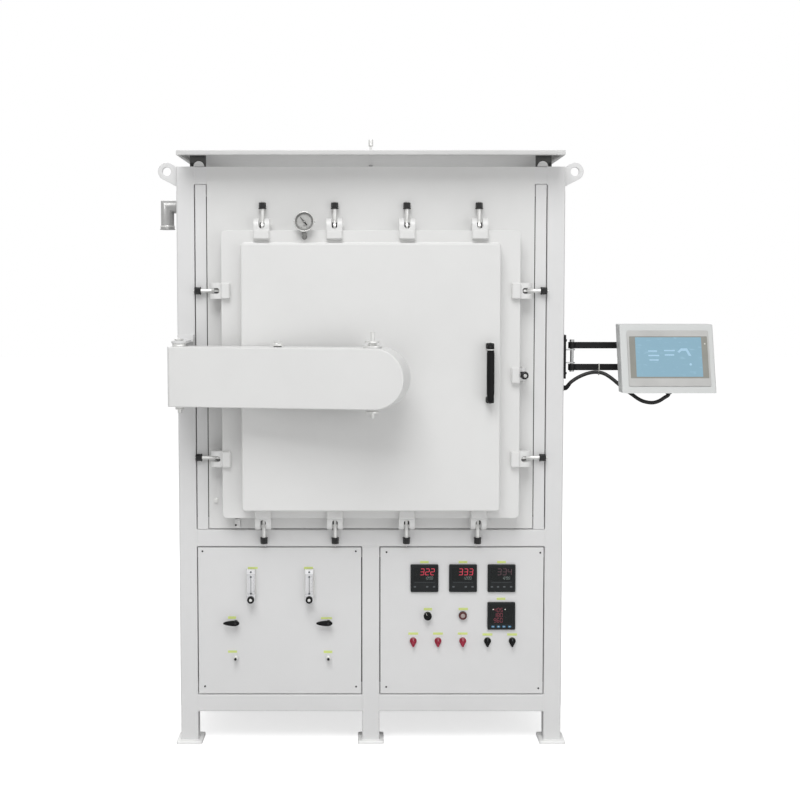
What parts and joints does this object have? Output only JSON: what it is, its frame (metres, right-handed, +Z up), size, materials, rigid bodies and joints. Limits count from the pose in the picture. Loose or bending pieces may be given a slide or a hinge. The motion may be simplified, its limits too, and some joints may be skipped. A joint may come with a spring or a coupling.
{
  "type": "vacuum atmosphere furnace",
  "caption": "Floor-standing vacuum atmosphere furnace: tube-frame cabinet, box chamber, door on a swinging arm with swing-bolt clamps, gas and control panels, operator terminal.",
  "frame": {"origin": "underside centre of the front middle foot column, on the floor, at the centre line of the front tubes", "axes": "+X to the right of the front, +Y into the depth of the cabinet, +Z up"},
  "size_m": [1.8868, 1.6397, 2.134],
  "materials": {
    "frame_paint": "smooth white powder coat",
    "cover_paint": "smooth white powder coat",
    "fascia_paint": "smooth light grey powder coat",
    "panel_paint": "smooth white powder coat",
    "chamber_paint": "smooth white paint over steel",
    "door_paint": "smooth white paint over steel",
    "zinc_steel": "bright zinc with dark machined nuts",
    "stainless_steel": "brushed stainless steel",
    "gauge_steel": "satin stainless steel case",
    "black_plastic": "fine-grained black plastic",
    "red_plastic": "dark red moulded plastic",
    "meter_plastic": "dark grey moulded meter case",
    "clear_acrylic": "polished clear acrylic block",
    "ceramic_fibre": "soft white ceramic fibre board",
    "heating_element": "oxidised heating rod",
    "seal_rubber": "smooth dark seal rubber",
    "cable_rubber": "matt dark cable jacket",
    "terminal_paint": "smooth light grey powder coat",
    "screen_bezel": "grey bezel round a lit blue display"
  },
  "bodies": {
    "base": {"frame": "frame_paint", "top_cover": "cover_paint", "front_fascia": "fascia_paint", "left_side_panel": "cover_paint", "right_side_panel": "cover_paint", "rear_panel": "cover_paint", "gas_panel": "panel_paint", "control_panel": "panel_paint", "chamber_shell": "chamber_paint", "chamber_lining": "ceramic_fibre", "heater_left": "heating_element", "heater_right": "heating_element", "door_seal": "seal_rubber", "exhaust_elbow": "frame_paint", "relief_valve": "stainless_steel", "flowmeter_left": "clear_acrylic", "flowmeter_right": "clear_acrylic", "panel_meter_1": "meter_plastic", "panel_meter_2": "meter_plastic", "panel_meter_3": "meter_plastic", "panel_meter_4": "meter_plastic", "arm_hinge_pin": "zinc_steel", "terminal_wall_bracket": "stainless_steel", "terminal_cable": "cable_rubber"},
    "arm": {"door_arm": "door_paint", "door_pivot_pin": "zinc_steel"},
    "door": {"door_shell": "door_paint", "door_plug": "ceramic_fibre", "door_handle": "black_plastic", "gauge_case": "gauge_steel"},
    "needle": {"gauge_needle": "black_plastic"},
    "terminal_boom": {"terminal_arm": "stainless_steel"},
    "terminal_fork": {"terminal_yoke": "stainless_steel"},
    "terminal_head": {"terminal_housing": "terminal_paint", "terminal_screen": "screen_bezel"},
    "flow_knob_left": {"flow_knob_left": "black_plastic"},
    "flow_knob_right": {"flow_knob_right": "black_plastic"},
    "valve_lever_left": {"valve_lever_left": "black_plastic"},
    "valve_lever_right": {"valve_lever_right": "black_plastic"},
    "rotary_knob": {"rotary_knob": "black_plastic"},
    "push_button": {"push_button": "red_plastic"},
    "selector_1": {"selector_1": "black_plastic"},
    "selector_2": {"selector_2": "black_plastic"},
    "selector_3": {"selector_3": "red_plastic"},
    "selector_4": {"selector_4": "black_plastic"},
    "selector_5": {"selector_5": "black_plastic"},
    "bolt_top_1": {"swing_bolt_top_1": "zinc_steel"},
    "bolt_top_2": {"swing_bolt_top_2": "zinc_steel"},
    "bolt_top_3": {"swing_bolt_top_3": "zinc_steel"},
    "bolt_top_4": {"swing_bolt_top_4": "zinc_steel"},
    "bolt_bottom_1": {"swing_bolt_bottom_1": "zinc_steel"},
    "bolt_bottom_2": {"swing_bolt_bottom_2": "zinc_steel"},
    "bolt_bottom_3": {"swing_bolt_bottom_3": "zinc_steel"},
    "bolt_bottom_4": {"swing_bolt_bottom_4": "zinc_steel"},
    "bolt_left_1": {"swing_bolt_left_1": "zinc_steel"},
    "bolt_left_2": {"swing_bolt_left_2": "zinc_steel"},
    "bolt_left_3": {"swing_bolt_left_3": "zinc_steel"},
    "bolt_right_1": {"swing_bolt_right_1": "zinc_steel"},
    "bolt_right_2": {"swing_bolt_right_2": "zinc_steel"},
    "bolt_right_3": {"swing_bolt_right_3": "zinc_steel"}
  },
  "joints": [
    {"name": "arm_swing", "type": "hinge", "parent": "base", "child": "arm", "pos_m": [-0.635, -0.179, 1.2835], "axis": [0, 0, -1], "range_deg": [0, 110]},
    {"name": "door_swivel", "type": "hinge", "parent": "arm", "child": "door", "pos_m": [0.00548, -0.30931, 1.2835], "axis": [0, 0, -1], "range_deg": [0, 11]},
    {"name": "gauge_pointer", "type": "hinge", "parent": "door", "child": "needle", "pos_m": [-0.22204, -0.1235, 1.795], "axis": [0, 1, 0], "range_deg": [-96, 174]},
    {"name": "bolt_top_1_swing", "type": "hinge", "parent": "base", "child": "bolt_top_1", "pos_m": [-0.366, -0.046, 1.782], "axis": [-1, 0, 0], "range_deg": [-90, 0]},
    {"name": "bolt_top_2_swing", "type": "hinge", "parent": "base", "child": "bolt_top_2", "pos_m": [-0.122, -0.046, 1.782], "axis": [-1, 0, 0], "range_deg": [-90, 0]},
    {"name": "bolt_top_3_swing", "type": "hinge", "parent": "base", "child": "bolt_top_3", "pos_m": [0.122, -0.046, 1.782], "axis": [-1, 0, 0], "range_deg": [-90, 0]},
    {"name": "bolt_top_4_swing", "type": "hinge", "parent": "base", "child": "bolt_top_4", "pos_m": [0.366, -0.046, 1.782], "axis": [-1, 0, 0], "range_deg": [-90, 0]},
    {"name": "bolt_bottom_1_swing", "type": "hinge", "parent": "base", "child": "bolt_bottom_1", "pos_m": [-0.366, -0.046, 0.78], "axis": [1, 0, 0], "range_deg": [-90, 0]},
    {"name": "bolt_bottom_2_swing", "type": "hinge", "parent": "base", "child": "bolt_bottom_2", "pos_m": [-0.122, -0.046, 0.78], "axis": [1, 0, 0], "range_deg": [-90, 0]},
    {"name": "bolt_bottom_3_swing", "type": "hinge", "parent": "base", "child": "bolt_bottom_3", "pos_m": [0.122, -0.046, 0.78], "axis": [1, 0, 0], "range_deg": [-90, 0]},
    {"name": "bolt_bottom_4_swing", "type": "hinge", "parent": "base", "child": "bolt_bottom_4", "pos_m": [0.366, -0.046, 0.78], "axis": [1, 0, 0], "range_deg": [-90, 0]},
    {"name": "bolt_left_1_swing", "type": "hinge", "parent": "base", "child": "bolt_left_1", "pos_m": [-0.5175, -0.046, 1.565], "axis": [0, 0, -1], "range_deg": [-90, 0]},
    {"name": "bolt_left_2_swing", "type": "hinge", "parent": "base", "child": "bolt_left_2", "pos_m": [-0.5175, -0.046, 1.281], "axis": [0, 0, -1], "range_deg": [-90, 0]},
    {"name": "bolt_left_3_swing", "type": "hinge", "parent": "base", "child": "bolt_left_3", "pos_m": [-0.5175, -0.046, 0.997], "axis": [0, 0, -1], "range_deg": [-90, 0]},
    {"name": "bolt_right_1_swing", "type": "hinge", "parent": "base", "child": "bolt_right_1", "pos_m": [0.5175, -0.046, 1.565], "axis": [0, 0, 1], "range_deg": [-90, 0]},
    {"name": "bolt_right_2_swing", "type": "hinge", "parent": "base", "child": "bolt_right_2", "pos_m": [0.5175, -0.046, 1.281], "axis": [0, 0, 1], "range_deg": [0, 90]},
    {"name": "bolt_right_3_swing", "type": "hinge", "parent": "base", "child": "bolt_right_3", "pos_m": [0.5175, -0.046, 0.997], "axis": [0, 0, 1], "range_deg": [-90, 0]},
    {"name": "terminal_boom_swing", "type": "hinge", "parent": "base", "child": "terminal_boom", "pos_m": [0.69, 0.005, 1.3415], "axis": [0, 0, 1], "range_deg": [-60, 70], "deforming": ["terminal_cable"]},
    {"name": "terminal_swivel", "type": "hinge", "parent": "terminal_boom", "child": "terminal_fork", "pos_m": [0.991, 0.005, 1.3415], "axis": [0, 0, 1], "range_deg": [-10, 45]},
    {"name": "terminal_tilt", "type": "hinge", "parent": "terminal_fork", "child": "terminal_head", "pos_m": [0.991, -0.045, 1.3415], "axis": [1, 0, 0], "range_deg": [-10, 15]},
    {"name": "flow_knob_left_turn", "type": "hinge", "parent": "base", "child": "flow_knob_left", "pos_m": [-0.41123, -0.067, 0.50918], "axis": [0, 1, 0], "continuous": true},
    {"name": "flow_knob_right_turn", "type": "hinge", "parent": "base", "child": "flow_knob_right", "pos_m": [-0.21115, -0.067, 0.50918], "axis": [0, 1, 0], "continuous": true},
    {"name": "valve_lever_left_turn", "type": "hinge", "parent": "base", "child": "valve_lever_left", "pos_m": [-0.46574, -0.05, 0.42492], "axis": [0, 1, 0], "range_deg": [0, 90]},
    {"name": "valve_lever_right_turn", "type": "hinge", "parent": "base", "child": "valve_lever_right", "pos_m": [-0.14596, -0.05, 0.42492], "axis": [0, 1, 0], "range_deg": [0, 90]},
    {"name": "rotary_knob_turn", "type": "hinge", "parent": "base", "child": "rotary_knob", "pos_m": [0.19598, -0.04, 0.44792], "axis": [0, 1, 0], "range_deg": [-30, 240]},
    {"name": "selector_1_turn", "type": "hinge", "parent": "base", "child": "selector_1", "pos_m": [0.14652, -0.04, 0.35951], "axis": [0, 1, 0], "range_deg": [0, 90]},
    {"name": "selector_2_turn", "type": "hinge", "parent": "base", "child": "selector_2", "pos_m": [0.23195, -0.04, 0.35951], "axis": [0, 1, 0], "range_deg": [0, 90]},
    {"name": "selector_3_turn", "type": "hinge", "parent": "base", "child": "selector_3", "pos_m": [0.31737, -0.04, 0.35951], "axis": [0, 1, 0], "range_deg": [0, 90]},
    {"name": "selector_4_turn", "type": "hinge", "parent": "base", "child": "selector_4", "pos_m": [0.4028, -0.04, 0.35951], "axis": [0, 1, 0], "range_deg": [0, 90]},
    {"name": "selector_5_turn", "type": "hinge", "parent": "base", "child": "selector_5", "pos_m": [0.48822, -0.04, 0.35951], "axis": [0, 1, 0], "range_deg": [0, 90]},
    {"name": "push_button_press", "type": "slide", "parent": "base", "child": "push_button", "axis": [0, 1, 0], "range_m": [0, 0.004], "stiffness_N_per_m": 400, "springref_m": -0.002}
  ],
  "couplings": [
    {"joint": "door_swivel", "follows": "arm_swing", "ratio": 0.1}
  ]
}
